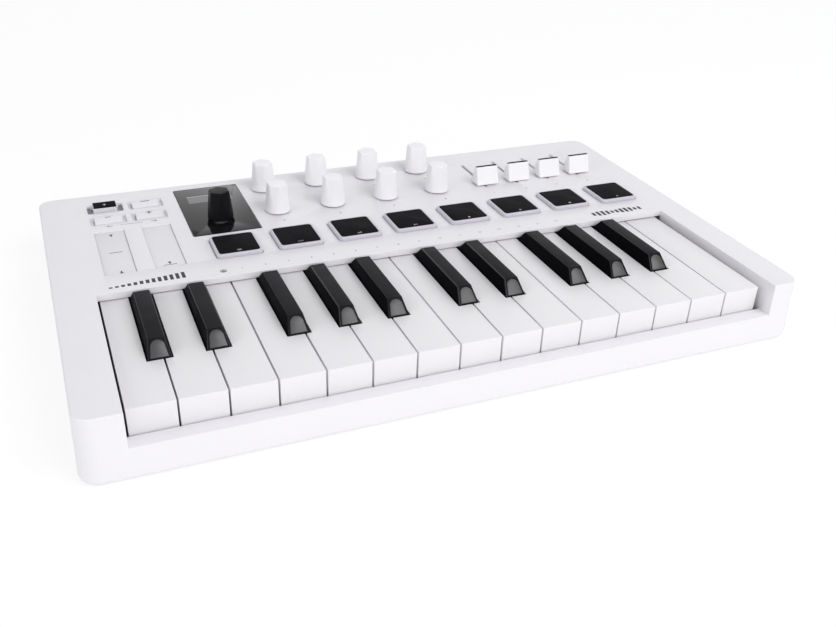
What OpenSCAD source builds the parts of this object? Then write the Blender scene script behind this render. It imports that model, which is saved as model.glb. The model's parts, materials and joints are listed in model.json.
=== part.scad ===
// Desktop keyboard controller with twenty-five slim keys, eight pads, nine knobs and four sliders.
// The origin is the middle of its footprint on the surface it stands on.
// +X is the player's right, +Y is away from the player, +Z is up. Millimetres.

/* [Case] */
// Width of the case
case_w = 355; // [352:1:362]
// Depth of the case
case_d = 220; // [218:1:226]
// Height of the case above its lowest edge
case_h = 33; // [33:0.5:36]
// Radius of the case's upright corners
corner_r = 8; // [7:0.5:11]
// How far the side walls lean out from the panel down to the table
wall_draft = 1.3; // [0.6:0.1:1.6]
// Radius along the top edge
top_edge_r = 0.8; // [0.4:0.1:1.2]
// Radius along the bottom edge
bottom_edge_r = 3; // [2:0.5:4]
// Thickness of the case walls at the top
wall = 3; // [2.5:0.1:3.4]
// Thickness of the top panel
panel_t = 2.5; // [2.2:0.1:2.8]
// How far the rubber feet hold the case off the table
foot_h = 1.2; // [1:0.1:2]

/* [Keys] */
// Distance from one white key to the next
key_pitch = 21; // [20.8:0.05:21.05]
// Gap between neighbouring white keys
key_gap = 0.9; // [0.7:0.1:1.1]
// Length of white key in front of the panel
white_len = 90.4; // [88:0.2:92]
// Height of the white key tops below the panel
key_drop = 3.7; // [3.4:0.1:4]
// Height of the white keys' front faces
key_front_h = 15; // [14:0.5:16]
// Width of the black keys where they leave the white ones
black_w = 10.2; // [9.8:0.1:10.4]
// Width of the black keys' flat tops
black_top_w = 7.3; // [6.6:0.1:8]
// Length of black key in front of the panel
black_len = 57.9; // [55:0.1:60]
// Height of the black keys above the white ones
black_rise = 6.7; // [6:0.1:7.5]

/* [Pads] */
// Distance from one pad to the next
pad_pitch = 32.8; // [32:0.1:33]
// Side of a square pad
pad_size = 24; // [23:0.5:24.5]
// Height of the pads above the panel
pad_rise = 2.1; // [1.8:0.1:3]

/* [Knobs] */
// Diameter of a knob's skirt
knob_base_d = 14.2; // [13.6:0.1:15]
// Diameter of a knob's top
knob_top_d = 11.8; // [11.2:0.1:12.4]
// Height of the knob tops above the panel
knob_rise = 16.8; // [15:0.2:18]

/* [Sliders] */
// Length of a slider's travel
slider_travel = 30; // [28:0.5:30]
// Width of a slider cap
slider_cap_w = 14.4; // [13.4:0.2:15]
// Height of the slider caps above the panel
slider_rise = 11.3; // [10:0.1:12]

/* [Buttons] */
// Width of a button cap
button_w = 14.4; // [13.6:0.2:15]
// Depth of a button cap
button_d = 9; // [8.4:0.2:9.4]
// Height of the button crowns above the panel
button_rise = 1.6; // [1.4:0.1:2]

/* [Hidden] */
$fn = 48;
eps = 0.01;
reach = 100; // long enough for a cut to pass right through
overlap = 0.005; // of a straight wall and the round edge it runs into

// --- Heights ---
case_z = foot_h;
panel_z = case_z + case_h;
under_z = panel_z - panel_t;
floor_t = 2.5;
floor_z = case_z + floor_t;
key_z = panel_z - key_drop;
ledge_z = panel_z - 16.7; // the front ledge, at half the height of the white keys' fronts
board_t = 1.6;
panel_board_z = under_z - 11.7;
board_top = panel_board_z + board_t;
part_gap = 0.1; // between pieces that touch on the real object

// --- Key well ---
white_count = 15;
octave = 7;
keys_w = white_count * key_pitch;
first_x = -keys_w / 2;
well_left = first_x - 0.8;
well_right = 3.1 - first_x;
well_back = -12;
key_front = well_back - white_len;
ledge_back = key_front - 0.6;
ledge_t = 2;
lip_t = 2;
lip_z = key_z + 0.5;
cheek_t = 2;
cheek_z = 8;

// --- Keys ---
key_wall = 1.5;
key_roof = 2;
notch_gap = 0.7;
notch_half = black_w / 2 + notch_gap;
black_front = well_back - black_len;
notch_front = black_front - notch_gap;
black_front_slope = 6.3;
black_back_slope = 6;
black_back_drop = 0.5;
black_body_h = 13.5;
stem_back = -4.5;
hook_w = 5;
hook_r = 3.5;
hook_root = 3;
rod_r = 1.5;
rod_over = 2; // how far the rod passes the outer keys
hinge_y = 0;
hinge_z = key_z - 6.5;
running = 0.05; // radial clearance of a turning fit
plunger_y = -40;
plunger_r = 1.6;
plunger_z = key_z - 12.9;
guide_clear = 6.5;

// Where the black key that follows each white key of an octave stands, from the joint between the whites
black_shift = [-1.8, 2.7, undef, -2.8, 0.6, 3.7, undef];

function has_black(w) = w >= 0 && w < white_count - 1 && black_shift[w % octave] != undef;
function key_edge(w) = first_x + w * key_pitch;
function black_x(w) = key_edge(w + 1) + black_shift[w % octave];
function stem_left(w) = has_black(w - 1) ? black_x(w - 1) + notch_half : key_edge(w) + key_gap / 2;
function stem_right(w) = has_black(w) ? black_x(w) - notch_half : key_edge(w + 1) - key_gap / 2;
function stem_x(w) = (stem_left(w) + stem_right(w)) / 2;

whites = [for (w = [0:white_count - 1]) w];
blacks = [for (w = whites) if (has_black(w)) w];

// --- Key frame ---
frame_z = floor_z + 0.8;
frame_t = 2;
frame_top = frame_z + frame_t;
frame_back = 5;
frame_inset = 1; // from the outer keys' outer edges
support_t = 2;
support_front = -3;
support_rise = 1.2;
white_guide_y = -87;
white_guide = [4, 6];
black_guide_y = -60;
black_guide = [3.2, 4];
rail_w = 3;
contact_board_z = frame_top + 3.5;
contact_front = -52;
contact_back = -28;
rubber_z = contact_board_z + board_t + part_gap;
rubber_t = 1.3;
rubber_inset = 2;
dome_r = 3;
dome_z = key_z - 15.3;

// --- Display and touch strips ---
display_x = -84.7;
display_y = 70;
display_w = 37.6;
display_d = 65.9;
display_r = 1.2;
lens_t = 1.5;
fit_gap = 0.2;
ledge_w = 2;
screen_w = 30;
screen_d = 15;
screen_t = 1.6;
screen_y = 86;
strip_xs = [-144.5, -120];
strip_y = 33;
strip_w = 15.6;
strip_d = 51.6;
strip_t = 1.2;
strip_sink = 0.8;
strip_ledge = 1;
strip_gap = 0.15;

// --- Pads ---
pad_count = 8;
pad_y = 19.3;
pad_r = 2.4;
pad_step = 1.3;
pad_step_h = 0.3;
pad_flange = 1.3;
pad_flange_t = 1.5;
pad_depth = 8.6;
pad_gap = 0.4;
sensor_w = pad_size - 2;
function pad_x(i) = display_x + (i - 1) * pad_pitch;

// --- Knobs ---
knob_rows = [90, 57];
knob_clear = 0.6;
main_clear = 1;
main_y = 56.2;
main_push = 0.7;
shaft_r = 3;
bush_r = 3.8;
shaft_hole_r = 4.4;
encoder_w = 12;
encoder_h = 6.5;
encoder_floor = 0.8;
shaft_z = board_top + 2.7;
shaft_top = panel_z + knob_rise - 3.7;
flat_count = 6;
flat_in = 0.8; // how far a flat cuts into the round top
flat_fade = 1.15; // above one, the flats run out before they reach the skirt
hub_r = 4.4;
knob_skin = 1.4;
knob_roof = 2.5;
function knob_x(i) = pad_x((i - 1) % 4 + 2);
function knob_y(i) = knob_rows[i > 4 ? 1 : 0];

// --- Sliders ---
slider_count = 4;
slider_first = 79.7;
slider_pitch = 21.6;
slider_y = 58;
slider_lift = 1.7; // how far the caps stand above the low end of their travel
slider_mid = slider_y - slider_lift + slider_travel / 2;
slider_base_d = 9.4;
slider_top_d = 2.8;
slider_lean = 0.15;
slider_clear = 0.7;
lever_w = 1.3;
lever_d = 5;
lever_z = board_top + 2.4;
lever_grip = 4; // how far the lever reaches up into the cap
slot_shift = -1.4; // from the middle of the cap to its slot
slot_w = 2;
slot_end = 1;
slider_body_w = 9;
slider_body_h = 7;
slider_body_end = 6;
slider_body_floor = 1.6;
function slider_x(i) = slider_first + (i - 1) * slider_pitch;

// --- Buttons: shift, hold, octave down, octave up ---
button_xs = [-143.2, -121.2];
button_ys = [89.3, 73.3];
pocket_w = 19.3;
pocket_d = 11.3;
pocket_r = 0.8;
pocket_depth = 1.6;
crown_r = 7;
shift_w = 12.9;
shift_rise = 2.4;
button_gap = 0.3;
button_flange = 0.9;
button_flange_t = 1;
button_corner_r = 0.5;
button_post_r = 1.5;
button_post_z = board_top + 4.6;
button_stem_z = under_z - 0.3;
switch_w = 6;
switch_h = 3.5;

// --- Rear sockets ---
socket_z = 13.2;
socket_front = case_d / 2 + 0.4;
jack_x = -70;
jack_r = 3.25;
jack_len = 28;
jack_ring_r = 5.5;
jack_body_w = 13;
jack_body_h = 11.6;
din_x = -98;
din_r = 7.6;
din_len = 12.2;
din_ring_r = 5.9;
din_core_r = 4.9;
din_slot_depth = 8;
din_pin_r = 0.8;
din_pin_circle = 3.6;
din_pins = [0, 45, 90, 135, 180];
usb_x = -126;
usb_w = 9;
usb_h = 3.3;
usb_len = 8.2;
usb_skin = 0.3;
usb_back = 1; // thickness of the shell's closed end
usb_tongue = [6.6, 4.6, 0.7];
lock_x = -150;
lock_w = 7;
lock_h = 3;
socket_gap = 0.3;
socket_board_z = floor_z + 0.3;
socket_board_t = 1.2;
socket_board_low = [-140, 76];
socket_board_high = [-60, case_d / 2 - wall - 1];

// --- Panel board ---
panel_board_low = [17.5 - case_w / 2, 6];
panel_board_high = [case_w / 2 - 17.5, 97.5];

// --- Fasteners, feet and posts ---
boss_r = 3.6;
boss_xs = [-168, 168];
boss_ys = [-96, 0, 96];
pilot_r = 1.45;
screw_r = 1.4;
screw_head_r = 2.7;
screw_head_t = 1.4;
screw_sink = 0.3;
screw_len = 12;
driver_r = 1.1;
counter_r = 3;
foot_r = 6.5;
foot_sink = 0.6;
foot_xs = [-150, 150];
foot_ys = [-88, 88];
post_r = 3;
post_spots = [[-150, 62], [0, 40], [60, 70], [150, 40]];

function two_digits(n) = n < 10 ? str("0", n) : str(n);
function white_name(w) = str("white_key_", two_digits(w + 1));
function black_name(n) = str("black_key_", two_digits(n));

// Rounds a length to thousandths, so that straight walls and round corners meet exactly
function fine(length) = round(length * 1000) / 1000;

// ---------- Shared shapes ----------

// Rectangle with round corners, about its middle
module round_rect(w, d, r) {
    square([w - 2 * r, d], center = true);
    square([w, d - 2 * r], center = true);
    for (x = [-1, 1], y = [-1, 1])
        translate([x * (w / 2 - r), y * (d / 2 - r)])
            circle(r);
}

// Plate with round corners, standing from z0 to z1
module plate(w, d, r, z0, z1) {
    translate([0, 0, z0])
        linear_extrude(z1 - z0)
            round_rect(w, d, r);
}

// Square block given by its lowest and highest corners
module block(low, high) {
    translate(low)
        cube(high - low);
}

// Upright cylinder from z0 to z1
module post(r, z0, z1) {
    translate([0, 0, z0])
        cylinder(r = r, h = z1 - z0);
}

// Cylinder that lies along X, about its middle
module rod_x(r, length) {
    rotate([0, 90, 0])
        cylinder(r = r, h = length, center = true);
}

// Cylinder that runs back from the origin along +Y
module rod_back(r, length) {
    rotate([-90, 0, 0])
        cylinder(r = r, h = length);
}

// One half of an upright section. The wall leans out towards the bottom, and both edges are rounded.
module edge_section(half, h) {
    lean = atan(wall_draft / h);
    foot_x = half + fine(wall_draft * (1 - bottom_edge_r / h) - bottom_edge_r / cos(lean));
    crown_x = half + fine(wall_draft * top_edge_r / h - top_edge_r / cos(lean));
    crown_z = h - top_edge_r;
    foot_touch = bottom_edge_r - overlap;
    crown_touch = top_edge_r - overlap;
    polygon([
        [0, 0],
        [foot_x, 0],
        [foot_x + fine(foot_touch * cos(lean)), bottom_edge_r + fine(foot_touch * sin(lean))],
        [crown_x + fine(crown_touch * cos(lean)), crown_z + fine(crown_touch * sin(lean))],
        [crown_x, h],
        [0, h]]);
    translate([foot_x, bottom_edge_r])
        circle(bottom_edge_r);
    translate([crown_x, crown_z])
        circle(top_edge_r);
}

module whole_section(w, h) {
    edge_section(w / 2, h);
    mirror([1, 0])
        edge_section(w / 2, h);
}

// The case's outer form: upright corners, and rounded edges above and below
module case_form() {
    translate([0, 0, case_z]) {
        rotate([90, 0, 90])
            linear_extrude(case_w - 2 * corner_r, center = true)
                whole_section(case_d, case_h);
        rotate([90, 0, 0])
            linear_extrude(case_d - 2 * corner_r, center = true)
                whole_section(case_w, case_h);
        for (x = [-1, 1], y = [-1, 1])
            translate([x * (case_w / 2 - corner_r), y * (case_d / 2 - corner_r), 0])
                rotate_extrude()
                    intersection() {
                        edge_section(corner_r, case_h);
                        square([corner_r + wall_draft, case_h]);
                    }
    }
}

// ---------- Top case ----------

module screw_bosses() {
    for (x = boss_xs, y = boss_ys)
        translate([x, y, 0])
            difference() {
                post(boss_r, floor_z + part_gap, under_z + eps);
                post(pilot_r, 0, floor_z + screw_len);
            }
}

// Side walls of the key well, and the lip that hangs over the keys' back ends
module well_walls() {
    for (x = [well_left - cheek_t, well_right])
        block([x, wall - case_d / 2 - eps, cheek_z], [x + cheek_t, well_back, under_z + eps]);
    block([well_left - cheek_t, well_back, lip_z],
          [well_right + cheek_t, well_back + lip_t, under_z + eps]);
}

module well_cut() {
    block([well_left, -case_d, ledge_z], [well_right, well_back, reach]);
    block([well_left, ledge_back, 0], [well_right, well_back, reach]);
}

module front_ledge() {
    block([well_left - cheek_t, (wall - case_d) / 2, ledge_z - ledge_t],
          [well_right + cheek_t, ledge_back, ledge_z]);
}

module panel_cuts() {
    translate([display_x, display_y, 0]) {
        plate(display_w, display_d, display_r, panel_z - lens_t, reach);
        plate(display_w - 2 * ledge_w, display_d - 2 * ledge_w, display_r, 0, reach);
    }
    for (x = strip_xs)
        translate([x, strip_y, 0]) {
            plate(strip_w, strip_d, 0.6, panel_z - strip_sink - strip_t, reach);
            plate(strip_w - 2 * strip_ledge, strip_d - 2 * strip_ledge, 0.6, 0, reach);
        }
    for (i = [1:pad_count])
        translate([pad_x(i), pad_y, 0])
            plate(pad_size + 2 * pad_gap, pad_size + 2 * pad_gap, pad_r + pad_gap, under_z - eps, reach);
    for (i = [1:8])
        translate([knob_x(i), knob_y(i), 0])
            post(shaft_hole_r, under_z - eps, reach);
    for (i = [1:slider_count])
        translate([slider_x(i) + slot_shift, slider_mid, 0])
            plate(slot_w, slider_travel + lever_d + 2 * slot_end, slot_w / 2 - 0.1, under_z - eps, reach);
    for (x = button_xs, y = button_ys)
        translate([x, y, 0]) {
            plate(pocket_w, pocket_d, pocket_r, panel_z - pocket_depth, reach);
            plate(button_w + 2 * button_gap, button_d + 2 * button_gap, pocket_r, under_z - eps, reach);
        }
}

// Openings in the back wall for the sockets and the security slot
module rear_cuts() {
    translate([0, case_d / 2 - wall - eps, socket_z]) {
        translate([jack_x, 0, 0])
            rod_back(jack_ring_r + socket_gap, reach);
        translate([din_x, 0, 0])
            rod_back(din_r + socket_gap, reach);
        translate([usb_x, 0, 0])
            rotate([-90, 0, 0])
                linear_extrude(reach)
                    round_rect(usb_w + 2 * socket_gap, usb_h + 2 * socket_gap, usb_h / 2);
        translate([lock_x, 0, 0])
            rotate([-90, 0, 0])
                linear_extrude(reach)
                    round_rect(lock_w, lock_h, 0.8);
    }
}

module top_case() {
    color("white")
        difference() {
            union() {
                difference() {
                    case_form();
                    plate(case_w - 2 * wall, case_d - 2 * wall, corner_r - wall, 0, under_z);
                }
                screw_bosses();
                well_walls();
                front_ledge();
            }
            well_cut();
            panel_cuts();
            rear_cuts();
        }
}

// ---------- Bottom case, feet and screws ----------

module bottom_case() {
    inset = wall + 0.3;
    color("whitesmoke")
        difference() {
            union() {
                plate(case_w - 2 * inset, case_d - 2 * inset, corner_r - inset, case_z, floor_z);
                for (spot = post_spots)
                    translate(spot)
                        post(post_r, floor_z - eps, panel_board_z - part_gap);
            }
            for (x = boss_xs, y = boss_ys)
                translate([x, y, 0]) {
                    post(screw_r + 0.2, 0, reach);
                    post(counter_r, 0, case_z + screw_sink + screw_head_t - 0.3);
                }
            for (x = foot_xs, y = foot_ys)
                translate([x, y, 0])
                    post(foot_r + 0.1, 0, case_z + foot_sink);
        }
}

module rubber_feet() {
    color("dimgray")
        for (x = foot_xs, y = foot_ys)
            translate([x, y, 0])
                post(foot_r, 0, case_z + foot_sink - 0.02);
}

module case_screws() {
    color("silver")
        for (x = boss_xs, y = boss_ys)
            translate([x, y, case_z + screw_sink])
                difference() {
                    union() {
                        post(screw_head_r, 0, screw_head_t - 0.4);
                        post(screw_r, 0, screw_len - 1);
                    }
                    translate([0, 0, -eps])
                        linear_extrude(0.8)
                            for (turn = [0, 90])
                                rotate(turn)
                                    square([2 * driver_r, 0.6], center = true);
                }
}

// ---------- Key frame ----------

module rod_support(x) {
    difference() {
        block([x - support_t / 2, support_front, frame_top - eps],
              [x + support_t / 2, frame_back, hinge_z + rod_r + support_rise]);
        translate([x, hinge_y, hinge_z])
            rod_x(rod_r + running, 2 * support_t);
    }
}

// Upright block that keeps a key from rocking sideways
module key_guide(x, y, size) {
    translate([x, y, 0])
        block([-size[0] / 2, -size[1] / 2, frame_top - eps],
              [size[0] / 2, size[1] / 2, key_z - guide_clear]);
}

module key_frame() {
    side = frame_inset + first_x;
    color("gray") {
        block([side, key_front + frame_inset, frame_z], [-side, frame_back, frame_top]);
        for (y = [contact_front + rail_w, contact_back - rail_w])
            block([side, y - rail_w / 2, frame_top - eps],
                  [-side, y + rail_w / 2, contact_board_z - part_gap]);
        for (w = whites)
            key_guide(key_edge(w + 0.5), white_guide_y, white_guide);
        for (w = blacks)
            key_guide(black_x(w), black_guide_y, black_guide);
        for (w = [-1:white_count - 1])
            if (has_black(w)) {
                rod_support(black_x(w) - notch_half + notch_gap / 2);
                rod_support(black_x(w) + notch_half - notch_gap / 2);
            } else {
                rod_support(key_edge(w + 1));
            }
    }
    color("silver")
        translate([0, hinge_y, hinge_z])
            rod_x(rod_r, keys_w + 2 * rod_over);
}

// ---------- Keys ----------

// Hook that turns on the hinge rod, and the stub that joins it to the key
module key_hook() {
    translate([0, hinge_y, hinge_z])
        rod_x(hook_r, hook_w);
    block([-hook_w / 2, stem_back - hook_root, hinge_z - hook_r], [hook_w / 2, hinge_y, hinge_z + hook_r]);
}

module hook_bore() {
    translate([0, hinge_y, hinge_z])
        rod_x(rod_r + running, hook_w + 2);
}

module white_key(w) {
    left = key_edge(w) + key_gap / 2;
    right = key_edge(w + 1) - key_gap / 2;
    low = key_z - key_front_h;
    color("ivory") {
        difference() {
            union() {
                block([left, key_front, low], [right, notch_front, key_z]);
                block([stem_left(w), notch_front - eps, low], [stem_right(w), stem_back, key_z]);
                translate([stem_x(w), 0, 0])
                    key_hook();
            }
            block([left + key_wall, key_front + key_wall, 0],
                  [right - key_wall, notch_front - key_wall, key_z - key_roof]);
            block([stem_left(w) + key_wall, key_front + 2 * key_wall, 0],
                  [stem_right(w) - key_wall, stem_back - key_wall, key_z - key_roof]);
            translate([stem_x(w), 0, 0])
                hook_bore();
        }
        translate([stem_x(w), plunger_y, 0])
            post(plunger_r, plunger_z, key_z - key_roof + eps);
    }
}

// Side view of a black key: sloped front, long flat top, and a ramp down to the panel's lip
module black_side() {
    top = key_z + black_rise;
    polygon([
        [black_front, key_z - black_body_h],
        [black_front, key_z],
        [black_front + black_front_slope, top],
        [well_back - black_back_slope, top - black_back_drop],
        [well_back - black_back_drop, key_z],
        [stem_back, key_z],
        [stem_back, key_z - black_body_h]]);
}

// Front view of a black key
module black_section() {
    low = key_z - black_body_h;
    top = key_z + black_rise;
    polygon([
        [-black_w / 2, low],
        [-black_w / 2, key_z],
        [-black_top_w / 2, top],
        [black_top_w / 2, top],
        [black_w / 2, key_z],
        [black_w / 2, low]]);
}

module black_key(w) {
    translate([black_x(w), 0, 0])
        color("#26242a") {
            difference() {
                union() {
                    intersection() {
                        rotate([90, 0, 90])
                            linear_extrude(black_w + 2, center = true)
                                black_side();
                        rotate([90, 0, 0])
                            linear_extrude(2 * reach, center = true)
                                black_section();
                    }
                    key_hook();
                }
                block([key_wall - black_w / 2, black_front + 2, 0],
                      [black_w / 2 - key_wall, stem_back - key_wall, key_z - key_roof]);
                hook_bore();
            }
            translate([0, plunger_y, 0])
                post(plunger_r, plunger_z, key_z - key_roof + eps);
        }
}

// ---------- Display and touch strips ----------

module display_window() {
    screen_z = panel_z - lens_t - part_gap;
    color("#333236")
        difference() {
            translate([display_x, display_y, 0])
                plate(display_w - 2 * fit_gap, display_d - 2 * fit_gap, display_r,
                      panel_z - lens_t + 0.02, panel_z);
            translate([display_x, main_y, 0])
                post(shaft_hole_r, 0, reach);
        }
    color("black")
        translate([display_x, screen_y, 0])
            plate(screen_w, screen_d, 0.5, screen_z - screen_t, screen_z);
}

module touch_strips() {
    color("snow")
        for (x = strip_xs)
            translate([x, strip_y, 0])
                plate(strip_w - 2 * strip_gap, strip_d - 2 * strip_gap, 0.5,
                      panel_z - strip_sink - strip_t + 0.02, panel_z - strip_sink);
}

// ---------- Circuit boards and the parts soldered to them ----------

// Body of a rotary encoder, with the bush that its shaft turns in
module encoder_body() {
    difference() {
        union() {
            block([-encoder_w / 2, -encoder_w / 2, board_top - eps],
                  [encoder_w / 2, encoder_w / 2, board_top + encoder_h]);
            post(bush_r, board_top, under_z - 0.4);
        }
        post(shaft_r + running, board_top + encoder_floor, reach);
    }
}

module slider_body() {
    length = slider_travel + lever_d + 2 * slider_body_end;
    translate([slot_shift, slider_mid, 0])
        difference() {
            block([-slider_body_w / 2, -length / 2, board_top - eps],
                  [slider_body_w / 2, length / 2, board_top + slider_body_h]);
            plate(slot_w + 0.4, slider_travel + lever_d + 1, 0.5, board_top + slider_body_floor, reach);
        }
}

module button_switch() {
    half = switch_w / 2;
    block([-half, -half, board_top - eps], [half, half, board_top + switch_h]);
}

module panel_board() {
    block([panel_board_low[0], panel_board_low[1], panel_board_z],
          [panel_board_high[0], panel_board_high[1], board_top]);
    for (i = [1:8])
        translate([knob_x(i), knob_y(i), 0])
            encoder_body();
    translate([display_x, main_y, 0])
        encoder_body();
    for (i = [1:slider_count])
        translate([slider_x(i), 0, 0])
            slider_body();
    for (x = button_xs, y = button_ys)
        translate([x, y, 0])
            button_switch();
}

// Square force sensor under each pad
module pad_sensors() {
    for (i = [1:pad_count])
        translate([pad_x(i), pad_y, 0])
            plate(sensor_w, sensor_w, 1, board_top + part_gap, panel_z - pad_depth - 1);
}

module contact_board() {
    side = frame_inset + first_x;
    block([side, contact_front, contact_board_z], [-side, contact_back, contact_board_z + board_t]);
}

// Rubber strip with one dome under each key
module contact_rubber() {
    side = first_x + rubber_inset;
    block([side, contact_front + rubber_inset, rubber_z],
          [-side, contact_back - rubber_inset, rubber_z + rubber_t]);
    for (w = whites)
        translate([stem_x(w), plunger_y, 0])
            post(dome_r, rubber_z, dome_z);
    for (w = blacks)
        translate([black_x(w), plunger_y, 0])
            post(dome_r, rubber_z, dome_z);
}

module circuit_boards() {
    color("darkgreen") {
        panel_board();
        contact_board();
        block([socket_board_low[0], socket_board_low[1], socket_board_z],
              [socket_board_high[0], socket_board_high[1], socket_board_z + socket_board_t]);
    }
    color("silver")
        pad_sensors();
    color("lightgray")
        contact_rubber();
}

// ---------- Rear sockets ----------

module jack_socket() {
    body_back = case_d / 2 - wall - 0.2;
    translate([jack_x, 0, socket_z])
        difference() {
            union() {
                block([-jack_body_w / 2, socket_front - jack_len - 2, -jack_body_h / 2],
                      [jack_body_w / 2, body_back, jack_body_h / 2]);
                translate([0, body_back - eps, 0])
                    rod_back(jack_ring_r, socket_front - body_back + eps);
            }
            translate([0, socket_front - jack_len, 0])
                rod_back(jack_r, reach);
        }
}

module din_socket() {
    translate([din_x, socket_front, socket_z])
        rotate([90, 0, 0])
            difference() {
                post(din_r, 0, din_len);
                difference() {
                    post(din_ring_r, -eps, din_slot_depth);
                    post(din_core_r, -1, din_slot_depth + 1);
                }
                for (turn = din_pins)
                    rotate(turn)
                        translate([din_pin_circle, 0, 0])
                            post(din_pin_r, -eps, din_slot_depth);
            }
}

module usb_socket() {
    translate([usb_x, socket_front, socket_z])
        rotate([90, 0, 0]) {
            difference() {
                linear_extrude(usb_len)
                    round_rect(usb_w, usb_h, usb_h / 2 - 0.1);
                translate([0, 0, -eps])
                    linear_extrude(usb_len - usb_back)
                        round_rect(usb_w - 2 * usb_skin, usb_h - 2 * usb_skin, usb_h / 2 - 0.1 - usb_skin);
            }
            translate([-usb_tongue[0] / 2, -usb_tongue[2] / 2, usb_len - usb_back - usb_tongue[1]])
                cube([usb_tongue[0], usb_tongue[2], usb_tongue[1] + 0.5]);
        }
}

module rear_sockets() {
    color("#202022") {
        jack_socket();
        din_socket();
    }
    color("silver")
        usb_socket();
}

// ---------- Pads ----------

module pad(i) {
    top = panel_z + pad_rise;
    low = panel_z - pad_depth;
    inner = pad_size - 2 * pad_step;
    outer = pad_size + 2 * pad_flange;
    color("#2a282c")
        translate([pad_x(i), pad_y, 0]) {
            plate(pad_size, pad_size, pad_r, low, top - pad_step_h);
            plate(inner, inner, pad_r - pad_step / 2, low, top);
            plate(outer, outer, pad_r + pad_flange, under_z - pad_gap - pad_flange_t, under_z - pad_gap);
        }
}

// ---------- Knobs ----------

// Tapered cap with flats that run out into a round skirt. It stands from z0 up to the top.
module knob_cap(z0) {
    top = panel_z + knob_rise;
    height = top - z0;
    base_r = knob_base_d / 2;
    top_r = knob_top_d / 2;
    flat_lean = atan(flat_fade * (base_r - top_r + flat_in) / height);
    difference() {
        translate([0, 0, z0])
            cylinder(r1 = base_r, r2 = top_r, h = height);
        for (k = [0:flat_count - 1])
            rotate(k * 360 / flat_count)
                translate([top_r - flat_in, 0, top])
                    rotate([0, -flat_lean, 0])
                        block([0, -base_r, -height - 5], [base_r, base_r, 1]);
        difference() {
            translate([0, 0, z0 - eps])
                cylinder(r1 = base_r - knob_skin, r2 = top_r - knob_skin - flat_in, h = height - knob_roof);
            post(hub_r, 0, reach);
        }
        post(shaft_r + 0.02, 0, shaft_top + 0.2);
    }
}

module knob_shaft() {
    post(shaft_r, shaft_z, shaft_top);
}

module knob(i) {
    translate([knob_x(i), knob_y(i), 0]) {
        color("white")
            knob_cap(panel_z + knob_clear);
        color("silver")
            knob_shaft();
    }
}

module main_knob() {
    translate([display_x, main_y, 0]) {
        color("#1c1b1e")
            knob_cap(panel_z + main_clear);
        color("silver")
            knob_shaft();
    }
}

// Small plunger under the main shaft. It presses the switch in the encoder's floor.
module main_encoder_plunger() {
    color("white")
        translate([display_x, main_y, 0])
            post(shaft_r - 0.2, board_top + encoder_floor + main_push + part_gap, shaft_z - part_gap / 2);
}

// ---------- Sliders ----------

module slider(i) {
    z0 = panel_z + slider_clear;
    z1 = panel_z + slider_rise;
    translate([slider_x(i), slider_y, 0]) {
        color("white")
            intersection() {
                rotate([90, 0, 90])
                    linear_extrude(slider_cap_w, center = true)
                        polygon([
                            [-slider_base_d / 2, z0],
                            [-slider_top_d / 2, z1],
                            [slider_top_d / 2, z1],
                            [slider_base_d / 2, z0]]);
                rotate([90, 0, 0])
                    linear_extrude(slider_base_d + 2, center = true)
                        polygon([
                            [-slider_cap_w / 2, z0],
                            [slider_lean - slider_cap_w / 2, z1],
                            [slider_cap_w / 2 - slider_lean, z1],
                            [slider_cap_w / 2, z0]]);
            }
        color("silver")
            translate([slot_shift, 0, 0])
                block([-lever_w / 2, -lever_d / 2, lever_z], [lever_w / 2, lever_d / 2, z0 + lever_grip]);
    }
}

// ---------- Buttons ----------

// Flange under the panel and the post that presses the switch
module button_stem() {
    plate(button_w + 2 * button_flange, button_d + 2 * button_flange, button_corner_r,
          button_stem_z - button_flange_t, button_stem_z);
    post(button_post_r, button_post_z, button_stem_z);
}

// White cap with a crown that runs from side to side
module crowned_button(x, y) {
    top = panel_z + button_rise;
    color("white")
        translate([x, y, 0]) {
            intersection() {
                plate(button_w, button_d, button_corner_r, under_z - 1, top);
                translate([0, 0, top - crown_r])
                    union() {
                        rod_x(crown_r, button_w + 2);
                        block([-button_w, -button_w, -crown_r], [button_w, button_w, 0]);
                    }
            }
            button_stem();
        }
}

// Taller translucent cap with a flat dark top
module shift_button() {
    color("gray")
        translate([button_xs[0], button_ys[0], 0]) {
            plate(shift_w, button_d, button_corner_r, under_z - 1, panel_z + shift_rise);
            button_stem();
        }
}

// ---------- The nodes ----------

top_case();
bottom_case();
key_frame();
display_window();
touch_strips();
circuit_boards();
rear_sockets();
rubber_feet();
case_screws();
for (w = whites)
    white_key(w);
for (n = [1:len(blacks)])
    black_key(blacks[n - 1]);
for (i = [1:pad_count])
    pad(i);
for (i = [1:8])
    knob(i);
main_knob();
main_encoder_plunger();
for (i = [1:slider_count])
    slider(i);
shift_button();
crowned_button(button_xs[1], button_ys[0]);  // hold_button
crowned_button(button_xs[0], button_ys[1]);  // octave_down_button
crowned_button(button_xs[1], button_ys[1]);  // octave_up_button
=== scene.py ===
import json
import math

import bmesh
import bpy
from mathutils import Matrix, Vector


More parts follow.
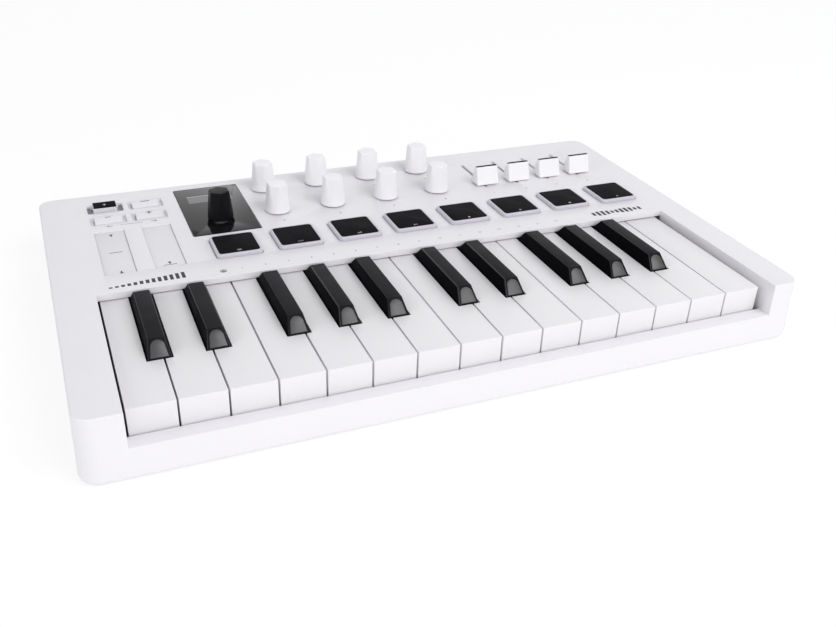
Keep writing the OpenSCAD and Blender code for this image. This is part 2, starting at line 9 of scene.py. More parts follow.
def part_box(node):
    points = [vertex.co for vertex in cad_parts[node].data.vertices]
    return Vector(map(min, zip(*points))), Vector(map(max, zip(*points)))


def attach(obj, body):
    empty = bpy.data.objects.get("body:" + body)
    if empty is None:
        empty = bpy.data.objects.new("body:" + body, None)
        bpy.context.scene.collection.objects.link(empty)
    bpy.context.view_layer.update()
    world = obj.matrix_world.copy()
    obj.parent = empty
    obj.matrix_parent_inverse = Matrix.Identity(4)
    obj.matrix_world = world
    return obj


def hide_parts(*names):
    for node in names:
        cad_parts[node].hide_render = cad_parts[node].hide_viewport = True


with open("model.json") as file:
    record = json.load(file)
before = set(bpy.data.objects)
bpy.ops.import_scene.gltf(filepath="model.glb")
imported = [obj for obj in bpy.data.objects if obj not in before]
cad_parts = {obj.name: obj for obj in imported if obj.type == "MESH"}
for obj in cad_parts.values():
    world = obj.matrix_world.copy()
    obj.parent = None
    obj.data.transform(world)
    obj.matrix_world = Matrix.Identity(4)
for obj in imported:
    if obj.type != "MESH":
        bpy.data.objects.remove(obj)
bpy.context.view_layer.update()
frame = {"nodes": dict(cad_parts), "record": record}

MM = 0.001
RECORD_BODIES = frame["record"]["behaviour"]["bodies"]
PANEL_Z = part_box("top_case")[1].z
KEY_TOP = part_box("white_key_01")[1].z
PRINT_T = 0.03 * MM  # thickness of printed ink
BLACK_SLOPE = 6.3 * MM  # the sloped front of a black key runs back this far
PAD_SIZE = 24 * MM
PAD_RIM = 1.3 * MM  # light base seen around a pad's dark top
KNOB_TOP_R = 5.9 * MM
SLOT_ASIDE = 1.4 * MM  # the slider slots stand this far left of the caps' middles
scene = bpy.context.scene


# ---------- Materials ----------

def add(nodes, kind, **inputs):
    """Adds a shader node and sets its inputs by name."""
    node = nodes.new(kind)
    for name, value in inputs.items():
        node.inputs[name.replace("_", " ")].default_value = value
    return node


def noise(tree, coords, size, detail=2.0, roughness=0.5):
    """Noise whose cells are about `size` metres across."""
    node = add(tree.nodes, "ShaderNodeTexNoise", Scale=1 / size, Detail=detail, Roughness=roughness)
    tree.links.new(coords, node.inputs["Vector"])
    return node.outputs["Fac"]


def spread(tree, value, low, high):
    """Maps the middle of a noise to the range from low to high."""
    node = add(tree.nodes, "ShaderNodeMapRange", From_Min=0.3, From_Max=0.7, To_Min=low, To_Max=high)
    tree.links.new(value, node.inputs["Value"])
    return node.outputs["Result"]


def between(tree, value, first, second):
    """Blends two colours by a value from 0 to 1."""
    node = tree.nodes.new("ShaderNodeMix")
    node.data_type = "RGBA"
    node.inputs["A"].default_value = (*first, 1)
    node.inputs["B"].default_value = (*second, 1)
    tree.links.new(value, node.inputs["Factor"])
    return node.outputs["Result"]


def shade(colour, factor):
    """Colour made darker or lighter."""
    return tuple(min(1.0, c * factor) for c in colour)


def material(name, colour, rough, vary=0.03, rough_vary=0.05, grain=0.25, depth=0.012,
             patch=25, metal=0.0, coat=0.0, specular=0.5, soft=0.0):
    """Moulded finish: slow drifts of colour and roughness, and a fine grain in the surface.
    grain and patch are in millimetres across, and depth is how deep the grain is, in millimetres."""
    mat = bpy.data.materials.new(name)
    mat.use_nodes = True
    tree = mat.node_tree
    shader = tree.nodes["Principled BSDF"]
    coords = tree.nodes.new("ShaderNodeTexCoord").outputs["Object"]
    drift = spread(tree, noise(tree, coords, patch * MM, 3), 0, 1)
    tree.links.new(between(tree, drift, shade(colour, 1 - vary), shade(colour, 1 + vary)),
                   shader.inputs["Base Color"])
    cells = noise(tree, coords, grain * MM, 3, 0.6)
    smears = noise(tree, coords, patch * 0.4 * MM, 4)
    tree.links.new(spread(tree, smears, rough - rough_vary, rough + rough_vary), shader.inputs["Roughness"])
    bump = add(tree.nodes, "ShaderNodeBump", Strength=1.0, Distance=depth * MM)
    tree.links.new(cells, bump.inputs["Height"])
    tree.links.new(bump.outputs["Normal"], shader.inputs["Normal"])
    shader.inputs["Metallic"].default_value = metal
    shader.inputs["Coat Weight"].default_value = coat
    shader.inputs["Coat Roughness"].default_value = 0.15
    shader.inputs["Specular IOR Level"].default_value = specular
    if soft:
        shader.inputs["Subsurface Weight"].default_value = soft
        shader.inputs["Subsurface Radius"].default_value = (1.0, 0.9, 0.9)
        shader.inputs["Subsurface Scale"].default_value = 1.2 * MM
    return mat


def board_material(name):
    """Solder mask with copper tracks that show through it."""
    mask = (0.01, 0.09, 0.035)
    mat = material(name, mask, 0.3, vary=0.1, coat=0.5)
    tree = mat.node_tree
    shader = tree.nodes["Principled BSDF"]
    coords = tree.nodes.new("ShaderNodeTexCoord").outputs["Object"]
    tracks = add(tree.nodes, "ShaderNodeTexBrick", Scale=220.0, Mortar_Size=0.03, Color1=(*mask, 1),
                 Color2=(0.012, 0.105, 0.04, 1), Mortar=(0.03, 0.2, 0.08, 1))
    tree.links.new(coords, tracks.inputs["Vector"])
    tree.links.new(tracks.outputs["Color"], shader.inputs["Base Color"])
    return mat


case_white = material("case_white", (0.80, 0.785, 0.815), 0.42, vary=0.006, rough_vary=0.03, grain=0.3,
                      depth=0.012)
base_white = material("base_white", (0.74, 0.73, 0.75), 0.5, vary=0.02, grain=0.5, depth=0.03)
strip_white = material("strip_white", (0.76, 0.745, 0.775), 0.5, vary=0.01, grain=0.2, depth=0.008)
key_white = material("key_white", (0.79, 0.775, 0.795), 0.38, vary=0.004, rough_vary=0.015, grain=0.3,
                     depth=0.003, patch=60)
key_black = material("key_black", (0.009, 0.008, 0.0105), 0.45, vary=0.12, grain=0.22, depth=0.02,
                     specular=0.07)
# Darker copy of the key black for the sides, as painted shade; the dull finish is real.
key_side_painted_shade = material("key_black_side_painted_shade", (0.003, 0.0025, 0.0035), 0.5, vary=0.1, depth=0.006, specular=0.02)
# Lighter, polished copy of the key black for the rounded edges: the gloss is real, the lighter colour is a
# painted highlight.
key_edge_painted_highlight = material("key_black_edge_painted_highlight", (0.02, 0.018, 0.022), 0.3, vary=0.1, depth=0.004, specular=0.4)
# Lighter copy of the key black for the arch on the sloped front: a painted reflection.
key_face_painted_reflection = material("key_black_face", (0.058, 0.056, 0.058), 0.33, vary=0.08, grain=0.2, depth=0.008)
pad_dark_and_painted_shade = material("pad_dark_and_painted_shade", (0.005, 0.0047, 0.0062), 0.6, vary=0.15, grain=0.18, depth=0.02,
                    specular=0.04)
pad_light = material("pad_light", (0.58, 0.56, 0.62), 0.4, vary=0.01, grain=0.3, depth=0.006, soft=0.3)
knob_white = material("knob_white", (0.885, 0.875, 0.895), 0.45, vary=0.008, rough_vary=0.03, grain=0.22,
                      depth=0.012)
knob_black = material("knob_black", (0.005, 0.005, 0.0062), 0.35, vary=0.15, grain=0.2, depth=0.014,
                      specular=0.1)
button_white = material("button_white", (0.78, 0.765, 0.80), 0.36, vary=0.012, grain=0.22, depth=0.01)
button_grey = material("button_grey", (0.68, 0.665, 0.705), 0.35, vary=0.01, depth=0.008, soft=0.2)
button_dark = material("button_dark", (0.006, 0.006, 0.007), 0.6, vary=0.1, depth=0.01, specular=0.02)
surround_grey = material("surround_grey", (0.17, 0.165, 0.18), 0.4, vary=0.03, depth=0.008)
window_dark = material("window_dark", (0.007, 0.0066, 0.0085), 0.07, vary=0.1, rough_vary=0.02, grain=8,
                       depth=0.002, patch=12, specular=0.38)
screen_grey = material("screen_grey", (0.13, 0.13, 0.135), 0.12, vary=0.04, rough_vary=0.02, depth=0.001)
screen_painted_glint = material("screen_painted_glint", (0.5, 0.5, 0.52), 0.2, vary=0.03, depth=0.002)
ink_dark = material("ink_dark", (0.03, 0.03, 0.035), 0.55, vary=0.15, depth=0.004)
ridge_dark = material("ridge_dark", (0.008, 0.008, 0.009), 0.6, vary=0.1, depth=0.004, specular=0.05)
ink_grey = material("ink_grey", (0.22, 0.215, 0.235), 0.55, vary=0.1, depth=0.004)
ink_light = material("ink_light", (0.45, 0.45, 0.47), 0.55, vary=0.05, depth=0.004)
frame_grey = material("frame_grey", (0.12, 0.12, 0.125), 0.55, vary=0.05, grain=0.4, depth=0.02)
socket_black = material("socket_black", (0.012, 0.012, 0.013), 0.42, vary=0.1, grain=0.3, depth=0.015)
foot_rubber = material("foot_rubber", (0.04, 0.04, 0.042), 0.75, vary=0.12, grain=0.35, depth=0.04)
contact_rubber = material("contact_rubber", (0.35, 0.35, 0.36), 0.7, vary=0.06, grain=0.4, depth=0.02)
steel = material("steel", (0.55, 0.55, 0.56), 0.28, vary=0.05, grain=0.15, depth=0.004, metal=1.0)
board_green = board_material("board_green")


# ---------- Mesh helpers ----------

def ring(outline, z):
    return [Vector((x, y, z)) for x, y in outline]


def loft(bm, rings, slot=0):
    """Closed skin through rings of equal length, capped at both ends."""
    rows = [[bm.verts.new(point) for point in points] for points in rings]
    count = len(rows[0])
    faces = []
    for low, high in zip(rows, rows[1:]):
        for k in range(count):
            after = (k + 1) % count
            faces.append(bm.faces.new((low[k], low[after], high[after], high[k])))
    faces.append(bm.faces.new(list(reversed(rows[0]))))
    faces.append(bm.faces.new(rows[-1]))
    for face in faces:
        face.material_index = slot


def prism(bm, outline, z0, z1):
    """Flat-sided solid on an anticlockwise outline."""
    loft(bm, [ring(outline, z0), ring(outline, z1)])


def disc(r, sides=20):
    """Round outline about the origin, anticlockwise."""
    turns = [2 * math.pi * k / sides for k in range(sides)]
    return [(r * math.cos(turn), r * math.sin(turn)) for turn in turns]


def round_outline(w, d, r, steps=6):
    """Rectangle with round corners about the origin, anticlockwise."""
    corners = [(1, 1, 0), (-1, 1, 90), (-1, -1, 180), (1, -1, 270)]
    points = []
    for sx, sy, start in corners:
        for k in range(steps + 1):
            turn = math.radians(start + 90 * k / steps)
            points.append((sx * (w / 2 - r) + r * math.cos(turn), sy * (d / 2 - r) + r * math.sin(turn)))
    return points


def edge_steps(r, steps=4):
    """(inset, drop) pairs of a quarter-round edge, from the side up to the top."""
    turns = [math.radians(90 * k / steps) for k in range(steps + 1)]
    return [(r * (1 - math.cos(turn)), r * (1 - math.sin(turn))) for turn in turns]


def soft_plate(bm, centre, w, d, r, z0, z1, top_edge, slot=0):
    """Round-cornered plate with a rounded top edge."""
    cx, cy = centre

    def level(inset, z):
        outline = round_outline(w - 2 * inset, d - 2 * inset, max(r - inset, 0.05 * MM))
        return ring([(cx + x, cy + y) for x, y in outline], z)

    edge = [level(inset, z1 - drop) for inset, drop in edge_steps(top_edge)]
    loft(bm, [level(0, z0)] + edge, slot)


def tube(bm, centre, r, z0, z1):
    """Upright round bar."""
    cx, cy = centre
    prism(bm, [(cx + x, cy + y) for x, y in disc(r, 48)], z0, z1)


def centre_of(low, high):
    """Middle of a box seen from above."""
    return (low.x + high.x) / 2, (low.y + high.y) / 2


def place(bm, name, body, materials, replaces=(), smooth=40):
    """Makes an object of the mesh, and says what it rides on and what it stands for."""
    bmesh.ops.recalc_face_normals(bm, faces=bm.faces)
    mesh = bpy.data.meshes.new(name)
    bm.to_mesh(mesh)
    bm.free()
    mesh.polygons.foreach_set("use_smooth", [True] * len(mesh.polygons))
    mesh.set_sharp_from_angle(angle=math.radians(smooth))
    for mat in materials:
        mesh.materials.append(mat)
    piece = bpy.data.objects.new(name, mesh)
    scene.collection.objects.link(piece)
    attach(piece, body)
    if replaces:
        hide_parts(*replaces)
    return piece


def body_of(node):
    return next(body for body, nodes in RECORD_BODIES.items() if node in nodes)


def refined(node, materials, edge=0.3, segments=2, pick=None, angle=35):
    """A copy of a CAD node with its sharp edges rounded by `edge` millimetres. It stands for the node.
    pick(face) gives a face's material, and without it the node's own slots are kept."""
    bm = bmesh.new()
    bm.from_mesh(frame["nodes"][node].data)
    bmesh.ops.remove_doubles(bm, verts=bm.verts, dist=0.001 * MM)
    bmesh.ops.dissolve_limit(bm, angle_limit=math.radians(0.5), verts=bm.verts, edges=bm.edges,
                             delimit={"MATERIAL"})
    sharp = [e for e in bm.edges
             if len(e.link_faces) == 2 and e.calc_face_angle() > math.radians(angle)]
    bmesh.ops.bevel(bm, geom=sharp, offset=edge * MM, segments=segments, profile=0.5, affect="EDGES",
                    clamp_overlap=True)
    if pick:
        for face in bm.faces:
            face.material_index = pick(face)
    return place(bm, node + "_finished", body_of(node), materials, [node])


# ---------- Marks ----------

def shift(outline, x, y, turn=0.0, scale=1.0):
    """Outline in millimetres, turned by degrees and moved, in metres."""
    c, s = math.cos(math.radians(turn)), math.sin(math.radians(turn))
    return [((x + scale * (c * u - s * v)) * MM, (y + scale * (s * u + c * v)) * MM) for u, v in outline]


def bar(w, h):
    return [(-w / 2, -h / 2), (w / 2, -h / 2), (w / 2, h / 2), (-w / 2, h / 2)]


def arrow(length, head):
    """Arrow that points along +Y."""
    stem, half = 0.22 * head, length / 2
    return [(-stem, -half), (stem, -half), (stem, half - head), (head * 0.75, half - head), (0, half),
            (-head * 0.75, half - head), (-stem, half - head)]


def triangle(size):
    return [(-size * 0.45, -size / 2), (size * 0.55, 0), (-size * 0.45, size / 2)]


def printed(name, body, z, marks, ink):
    """Thin ink on a surface at height z. Each mark is an outline in metres."""
    bm = bmesh.new()
    for outline in marks:
        prism(bm, outline, z, z + PRINT_T)
    return place(bm, name, body, [ink])


def numeral(bm, text, x, y, z, size):
    """Adds a plain number, `size` millimetres high, as ink at height z."""
    curve = bpy.data.curves.new("number", "FONT")
    curve.body = text
    curve.size = size * MM / 0.7  # the digits are 0.7 of the font's size
    curve.align_x = "CENTER"
    curve.align_y = "CENTER"
    curve.extrude = PRINT_T / 2
    curve.resolution_u = 3
    holder = bpy.data.objects.new("number", curve)
    scene.collection.objects.link(holder)
    mesh = bpy.data.meshes.new_from_object(holder.evaluated_get(bpy.context.evaluated_depsgraph_get()))
    mesh.transform(Matrix.Translation((x * MM, y * MM, z + PRINT_T / 2)))
    bm.from_mesh(mesh)
    bpy.data.objects.remove(holder)
    bpy.data.curves.remove(curve)
    bpy.data.meshes.remove(mesh)


# ---------- Case ----------

def case_parts():
    """The fixed pieces, each a copy of its node with softened edges."""
    refined("top_case", [case_white], edge=0.25)
    refined("bottom_case", [base_white], edge=0.3)
    refined("rubber_feet", [foot_rubber], edge=0.25)
    refined("case_screws", [steel], edge=0.12)
    refined("key_frame", [frame_grey, steel], edge=0.15)
    refined("circuit_boards", [board_green, steel, contact_rubber], edge=0.1)
    refined("rear_sockets", [socket_black, steel], edge=0.15)
    refined("touch_strips", [strip_white], edge=0.15)


# ---------- Keys ----------

def black_pick(face):
    """The sides are dull and painted darker as shade, the rounded edges above them are polished and painted
    lighter as a highlight, and the rest is grained.
    """
    across = abs(face.normal.x)
    if across > 0.96:
        return 1
    return 2 if across > 0.1 else 0


def black_face(node):
    """Arch on the sloped front of a black key; the facet and its gloss are real, and its colour, lighter
    than the key's, is a painted reflection of the softbox above the front.
    """
    low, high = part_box(node)
    x = (low.x + high.x) / 2
    foot = Vector((x, low.y, KEY_TOP))
    along = Vector((0, BLACK_SLOPE, high.z - KEY_TOP))
    length = along.length
    along.normalize()
    out = Vector((0, -along.z, along.y))
    start, end = 0.5 * MM, length - 0.75 * MM
    half_low, half_high = 3.95 * MM, 3.2 * MM
    rise, root = 0.16 * MM, 0.3 * MM
    arch_start = end - half_high

    def outline(inset):
        points = [(-half_low + inset, start + inset), (half_low - inset, start + inset)]
        for k in range(13):
            turn = math.pi * k / 12
            r = half_high - inset
            points.append((r * math.cos(turn), arch_start + r * math.sin(turn)))
        return points

    def level(inset, lift):
        return [foot + Vector((u, 0, 0)) + along * v + out * lift for u, v in outline(inset)]

    bm = bmesh.new()
    loft(bm, [level(0, -root), level(0, 0.4 * rise), level(0.06 * MM, 0.8 * rise), level(rise, rise)])
    place(bm, node + "_face", node, [key_face_painted_reflection], smooth=60)


def keys():
    for node in frame["nodes"]:
        if node.startswith("white_key"):
            refined(node, [key_white], edge=0.4, segments=3)
        if node.startswith("black_key"):
            refined(node, [key_black, key_side_painted_shade, key_edge_painted_highlight], edge=0.45, segments=3,
                    pick=black_pick, angle=20)
            black_face(node)


# ---------- Pads ----------

def pad_mark(i, x, y):
    """Small sign near the front edge of a pad, as outlines in metres. x and y are in millimetres."""
    signs = {
        1: [shift(bar(2.2, 0.35), x, y + 0.4), shift(bar(2.2, 0.35), x, y - 0.4)],
        2: [shift(disc(0.32), x + dx, y) for dx in (-1.1, 0, 1.1)],
        3: [shift(bar(0.5, h), x + dx, y + h / 2 - 0.7) for dx, h in ((-0.9, 0.6), (0, 1.0), (0.9, 1.4))],
        4: [shift(triangle(1.3), x - 0.3, y), shift(bar(0.35, 1.3), x + 0.9, y)],
        5: [shift(bar(1.2, 1.2), x, y)],
        6: [shift(triangle(1.5), x, y)],
        7: [shift(disc(0.75), x, y)],
        8: [shift(bar(1.5, 0.35), x, y), shift(bar(0.35, 1.5), x, y)],
    }
    return signs[i]


def pads():
    """Light base that stands out of the panel, a flange and foot below it coloured dark as painted shade in
    the gap round the pad, and a thin dark top.
    """
    base_r, top_r, flange_r = 2.4 * MM, 1.7 * MM, 3.7 * MM
    top_w = PAD_SIZE - 2 * PAD_RIM
    light_foot = PANEL_Z - 2.7 * MM
    flange_low, flange_high = PANEL_Z - 4.4 * MM, PANEL_Z - 2.9 * MM
    sign_shift = -8.4
    for i in range(1, 9):
        node = f"pad_{i}"
        low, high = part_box(node)
        centre = centre_of(low, high)
        flange_w = high.x - low.x
        bm = bmesh.new()
        soft_plate(bm, centre, PAD_SIZE, PAD_SIZE, base_r, light_foot, high.z - 0.15 * MM, 0.7 * MM)
        # The foot and flange under the panel take the dark pad colour as painted shade, seen through the gap
        # round the pad.
        soft_plate(bm, centre, PAD_SIZE, PAD_SIZE, base_r, low.z, light_foot - 0.1 * MM, 0.1 * MM, slot=1)
        soft_plate(bm, centre, flange_w, flange_w, flange_r, flange_low, flange_high, 0.3 * MM, slot=1)
        place(bm, node + "_base", node, [pad_light, pad_dark_and_painted_shade], [node])
        bm = bmesh.new()
        soft_plate(bm, centre, top_w, top_w, top_r, high.z - 0.6 * MM, high.z, 0.12 * MM)
        place(bm, node + "_top", node, [pad_dark_and_painted_shade])
        sign = pad_mark(i, centre[0] / MM, centre[1] / MM + sign_shift)
        printed(node + "_sign", node, high.z, sign, ink_light)


# ---------- Knobs ----------

def soft_min(a, b, blend):
    """The lesser of two lengths, rounded where they cross."""
    return -blend * math.log(math.exp(-a / blend) + math.exp(-b / blend))


def knob(node, skirt_gap, mat):
    """Tapered cap with six flats that merge into a round skirt, on a steel shaft."""
    low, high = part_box(node)
    x, y = centre_of(low, high)
    base = PANEL_Z + skirt_gap
    height = high.z - base
    base_r, top_r = (high.x - low.x) / 2, KNOB_TOP_R
    flat_cut, flat_fade, flat_blend = 0.8 * MM, 1.15, 0.07 * MM
    shaft_r = 3 * MM

    def radius(turn, t):
        """Distance from the axis at a height t, from 0 at the base to 1 at the top."""
        cone = base_r + (top_r - base_r) * t
        flat = (top_r - flat_cut) + (1 - t) * (base_r - top_r + flat_cut) * flat_fade
        aside = (turn + math.pi / 6) % (math.pi / 3) - math.pi / 6
        return soft_min(cone, flat / math.cos(aside), flat_blend)

    def level(t, inset):
        outline = []
        for ux, uy in disc(1, 96):
            r = radius(math.atan2(uy, ux), t) - inset
            outline.append((x + r * ux, y + r * uy))
        return ring(outline, base + height * t)

    foot = [level(drop / height, inset) for inset, drop in reversed(edge_steps(0.25 * MM, 2))]
    body = [level(t / 14, 0) for t in range(1, 14)]
    crown = [level(1 - drop / height, inset) for inset, drop in edge_steps(0.55 * MM, 5)]
    bm = bmesh.new()
    loft(bm, foot + body + crown)
    place(bm, node + "_cap", node, [mat], [node], smooth=50)
    bm = bmesh.new()
    tube(bm, (x, y), shaft_r, low.z, base + 0.5 * MM)
    place(bm, node + "_shaft", node, [steel])


def knobs():
    for i in range(1, 9):
        knob(f"knob_{i}", 0.6 * MM, knob_white)
    knob("main_knob", 1.0 * MM, knob_black)
    refined("main_encoder_plunger", [base_white], edge=0.15)


# ---------- Sliders and buttons ----------

def slider(node):
    """Wedge-shaped cap with a dark line along its ridge, on a flat steel lever."""
    low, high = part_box(node)
    x, y = centre_of(low, high)
    w, base_d, top_d, lean = high.x - low.x, high.y - low.y, 2.8 * MM, 0.15 * MM
    ridge_w, ridge_d = w - 0.5 * MM, 2 * MM
    lever_w, lever_d = 1.3 * MM, 5 * MM
    base = PANEL_Z + 0.7 * MM
    height = high.z - 0.05 * MM - base

    def level(t, inset):
        wide, deep = w - 2 * lean * t - 2 * inset, base_d + (top_d - base_d) * t - 2 * inset
        outline = round_outline(wide, deep, max(0.5 * MM - inset, 0.1 * MM), 4)
        return ring([(x + u, y + v) for u, v in outline], base + height * t)

    bm = bmesh.new()
    foot = [level(drop / height, inset) for inset, drop in reversed(edge_steps(0.3 * MM, 2))]
    crown = [level(1 - drop / height, inset) for inset, drop in edge_steps(0.35 * MM, 4)]
    loft(bm, foot + [level(t / 8, 0) for t in range(1, 8)] + crown)
    place(bm, node + "_cap", node, [knob_white], [node], smooth=50)
    bm = bmesh.new()
    soft_plate(bm, (x, y), ridge_w, ridge_d, 0.7 * MM, high.z - 1 * MM, high.z, 0.04 * MM)
    place(bm, node + "_line", node, [ridge_dark])
    bm = bmesh.new()
    soft_plate(bm, (x - SLOT_ASIDE, y), lever_w, lever_d, 0.2 * MM, low.z, base + 1 * MM, 0.1 * MM)
    place(bm, node + "_lever", node, [steel])


def shift_button():
    """Light cap with a dark top, a flange and a stem, and two grey plates in the pocket beside it."""
    low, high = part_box("shift_button")
    x, y = centre_of(low, high)
    top = high.z
    cap_w, cap_d, corner_r = 12.9 * MM, 9 * MM, 0.5 * MM
    top_inset = 0.7 * MM
    stem_r = 1.5 * MM
    plate_x, plate_w, plate_d, plate_top = 8.55 * MM, 1.8 * MM, 10.9 * MM, PANEL_Z - 1.2 * MM
    bm = bmesh.new()
    soft_plate(bm, (x, y), cap_w, cap_d, corner_r, PANEL_Z - 3.5 * MM, top - 0.25 * MM, 0.2 * MM)
    soft_plate(bm, (x, y), high.x - low.x, high.y - low.y, corner_r,
               PANEL_Z - 3.8 * MM, PANEL_Z - 2.8 * MM, 0.1 * MM)
    tube(bm, (x, y), stem_r, low.z, PANEL_Z - 3 * MM)
    place(bm, "shift_button_body", "shift_button", [button_grey], ["shift_button"])
    bm = bmesh.new()
    soft_plate(bm, (x, y), cap_w - top_inset, cap_d - top_inset, 0.4 * MM, top - 0.6 * MM, top, 0.15 * MM)
    place(bm, "shift_button_top", "shift_button", [button_dark])
    bm = bmesh.new()
    for side in (-1, 1):
        soft_plate(bm, (x + side * plate_x, y), plate_w, plate_d, 0.4 * MM,
                   plate_top - 0.4 * MM, plate_top, 0.1 * MM)
    place(bm, "shift_surround", "case", [surround_grey])


def buttons():
    for node in ("hold_button", "octave_down_button", "octave_up_button"):
        refined(node, [button_white], edge=0.3, segments=3, angle=50)
    shift_button()


def button_signs():
    """A sign on each button. The white caps are crowned, so their signs reach `sink` millimetres deeper."""
    dash = bar(3, 0.6)
    signs = {
        "shift_button": ([arrow(2.4, 1.3)], ink_light, 0),
        "hold_button": ([bar(5, 0.7)], ink_dark, 0.12),
        "octave_down_button": ([dash], ink_dark, 0.12),
        "octave_up_button": ([dash, bar(0.6, 3)], ink_dark, 0.12),
    }
    for node, (outlines, ink, sink) in signs.items():
        low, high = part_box(node)
        x, y = centre_of(low, high)
        bm = bmesh.new()
        for outline in outlines:
            prism(bm, shift(outline, x / MM, y / MM), high.z - (sink + 0.25) * MM, high.z + PRINT_T)
        place(bm, node + "_sign", node, [ink])


# ---------- Display ----------

def display():
    """Glossy window with a lit screen, and a brighter line along the screen's far edge as a painted glint.
    """
    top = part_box("display_window")[1].z
    screen_x, screen_w = -84.85, 25.3
    screen_near, screen_far = 81.1, 90.7
    screen_d, line_d = screen_far - screen_near, 0.6
    refined("display_window", [window_dark, socket_black], edge=0.12)
    screen = shift(bar(screen_w, screen_d), screen_x, screen_far - screen_d / 2)
    printed("screen", "case", top, [screen], screen_grey)
    # Brighter line along the far edge of the screen: a painted glint.
    line = shift(bar(screen_w, line_d), screen_x, screen_far - line_d / 2)
    bm = bmesh.new()
    prism(bm, line, top, top + 2 * PRINT_T)
    place(bm, "screen_painted_glint", "case", [screen_painted_glint])


# ---------- Panel print ----------

def number_row(bm, count, first_x, step, y, size):
    """Numbers from 1 up on the panel, `step` millimetres apart."""
    for k in range(count):
        numeral(bm, str(k + 1), first_x + step * k, y, PANEL_Z, size)


def panel_numbers():
    """Numbers behind the keys, in front of the knobs and in front of the slider slots."""
    knob_shift = -13.9
    bm = bmesh.new()
    number_row(bm, count=16, first_x=-87.1, step=12.05, y=-5.3, size=1.5)
    for i in range(1, 9):
        x, y = centre_of(*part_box(f"knob_{i}"))
        numeral(bm, str(i), x / MM, y / MM + knob_shift, PANEL_Z, 1.7)
    number_row(bm, count=4, first_x=78.6, step=21.85, y=42.9, size=1.7)
    place(bm, "panel_numbers", "case", [ink_grey])


def panel_marks():
    """Arrows and a bar behind the touch strips, and a round socket sign with five light dots."""
    arrows_y = 64.5
    socket_x, socket_y, socket_r, pin_r = -96.8, -6, 1.7, 1
    marks = [shift(arrow(3.4, 1.3), -143.4, arrows_y, 90), shift(arrow(3.4, 1.3), -119.8, arrows_y, 270),
             shift(bar(12, 0.3), -131.9, arrows_y + 0.1), shift(disc(socket_r, 24), socket_x, socket_y)]
    printed("panel_marks", "case", PANEL_Z, marks, ink_grey)
    pins = [math.radians(45 * k) for k in range(5)]
    dots = [shift(disc(0.28, 12), socket_x + pin_r * math.cos(pin), socket_y + pin_r * math.sin(pin))
            for pin in pins]
    printed("pin_dots", "case", PANEL_Z + PRINT_T, dots, case_white)


def panel_bars():
    """Two rows of plain bars. The left row grows to the right, and the right row swells and shrinks."""
    level_x, level_step, level_foot = -151, 2.9, -6.9
    levels = []
    for k in range(13):
        height = 1.2 + 0.42 * k
        levels.append(shift(bar(1.7, height), level_x + level_step * k, level_foot + height / 2))
    printed("level_bars", "case", PANEL_Z, levels, ink_dark)
    wave_x, wave_step, wave_y = 119.5, 3.1, -4.4
    wave = []
    for k in range(11):
        height = 2.2 + 3.4 * abs(math.sin(0.62 * k + 0.5))
        wave.append(shift(bar(1.9, height), wave_x + wave_step * k, wave_y))
    printed("wave_bars", "case", PANEL_Z, wave, ink_dark)


def strip_marks():
    """Arrows and bars on the two touch strips."""
    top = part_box("touch_strips")[1].z
    left_x, right_x = -144, -120
    dash = bar(6.6, 0.45)
    marks = [shift(dash, left_x, 33), shift(arrow(3.2, 1.5), left_x, 54.3),
             shift(arrow(3.2, 1.5), left_x, 9.9, 180), shift(arrow(3, 1.5), right_x, 13.2),
             shift(dash, right_x, 10.9)]
    printed("strip_marks", "case", top, marks, ink_dark)


# ---------- Stage ----------

def camera():
    """Stands to the front left of the part and looks down at the keys."""
    stand = Vector((-170.58, -416.20, 250.99)) * MM
    ahead = Vector((0.34274, 0.79301, -0.50365)).normalized()
    right = Vector((0.92500, -0.37850, 0.03351))
    right = (right - ahead * right.dot(ahead)).normalized()
    up = right.cross(ahead)
    turn = Matrix((right, up, -ahead)).transposed()
    data = bpy.data.cameras.new("camera")
    data.sensor_width = 36
    data.lens = 39.73
    data.shift_x = 0.0064
    data.shift_y = -0.001
    data.clip_start = 0.01
    data.clip_end = 30
    eye = bpy.data.objects.new("camera", data)
    scene.collection.objects.link(eye)
    eye.matrix_world = Matrix.Translation(stand) @ turn.to_4x4()
    scene.camera = eye


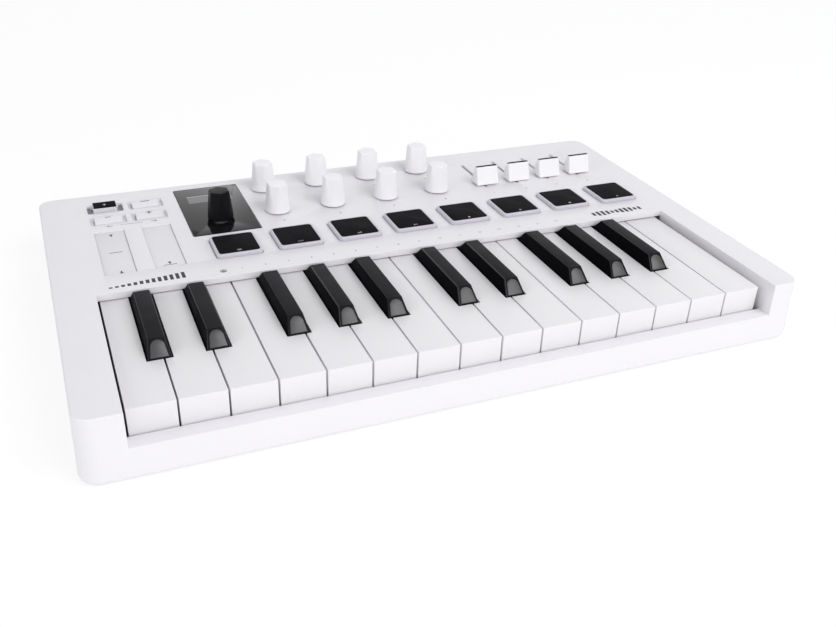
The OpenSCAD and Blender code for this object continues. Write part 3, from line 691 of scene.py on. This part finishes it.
def softbox(name, position, target, size, power):
    """Rectangular lamp at `position` that faces `target`."""
    data = bpy.data.lights.new(name, "AREA")
    data.shape = "RECTANGLE"
    data.size, data.size_y = size
    data.energy = power
    lamp = bpy.data.objects.new(name, data)
    scene.collection.objects.link(lamp)
    lamp.location = position
    lamp.rotation_euler = (Vector(target) - Vector(position)).to_track_quat("-Z", "Y").to_euler()


def floor():
    """Plain pale floor that is bright by itself, so it stays even around the part."""
    mat = bpy.data.materials.new("floor")
    mat.use_nodes = True
    shader = mat.node_tree.nodes["Principled BSDF"]
    shader.inputs["Base Color"].default_value = (0.25, 0.25, 0.25, 1)
    shader.inputs["Roughness"].default_value = 0.9
    shader.inputs["Specular IOR Level"].default_value = 0.1
    shader.inputs["Emission Color"].default_value = (1, 1, 1, 1)
    shader.inputs["Emission Strength"].default_value = 0.76
    bm = bmesh.new()
    bmesh.ops.create_grid(bm, x_segments=4, y_segments=4, size=6)
    mesh = bpy.data.meshes.new("floor")
    bm.to_mesh(mesh)
    bm.free()
    mesh.materials.append(mat)
    plane = bpy.data.objects.new("floor", mesh)
    scene.collection.objects.link(plane)


def lighting():
    """Even world light and four softboxes around the part."""
    world = bpy.data.worlds.new("studio")
    scene.world = world
    world.use_nodes = True
    background = world.node_tree.nodes["Background"]
    background.inputs["Color"].default_value = (0.97, 0.98, 1, 1)
    background.inputs["Strength"].default_value = 0.53
    middle = (0.0, 0.0, 0.02)
    softbox("key_light", (0.45, -0.85, 1.05), middle, (0.9, 0.7), 8.6)
    softbox("front_light", (-0.2, -1.5, 0.45), middle, (2.0, 0.6), 4.2)
    softbox("left_light", (-1.4, -0.3, 0.7), middle, (1.2, 0.7), 4)
    softbox("back_light", (1.0, 1.75, 1.0), middle, (3.6, 1.7), 12)
    scene.view_settings.view_transform = "Standard"
    scene.view_settings.look = "None"


camera()
floor()
lighting()
case_parts()
keys()
pads()
knobs()
for number in range(1, 5):
    slider(f"slider_{number}")
buttons()
button_signs()
display()
panel_numbers()
panel_marks()
panel_bars()
strip_marks()
